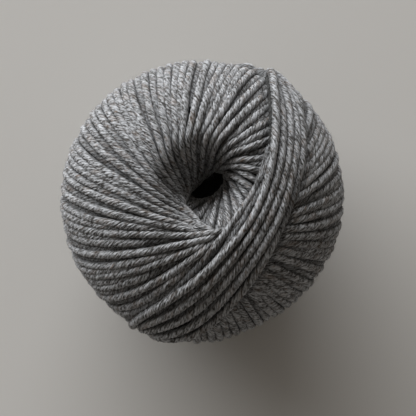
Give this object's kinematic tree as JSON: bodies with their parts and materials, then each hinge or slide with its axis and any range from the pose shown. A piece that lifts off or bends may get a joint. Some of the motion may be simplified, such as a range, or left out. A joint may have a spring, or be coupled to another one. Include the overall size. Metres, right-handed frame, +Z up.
{
  "type": "ball of yarn",
  "caption": "Machine-wound ball of grey wool yarn, slightly flattened, with a deep hollow in its top and turns that fan round it.",
  "frame": {"origin": "middle of the flat spot that the ball rests on, below the winding axis", "axes": "+Z up along the winding axis, out of the hollow; the picture is taken from -Y, high above, with +X to its right"},
  "size_m": [0.0987, 0.0995, 0.0723],
  "materials": {
    "wool": "matt, slightly fuzzy, heathered grey"
  },
  "bodies": {
    "root": {"yarn_ball": "wool"}
  },
  "joints": []
}
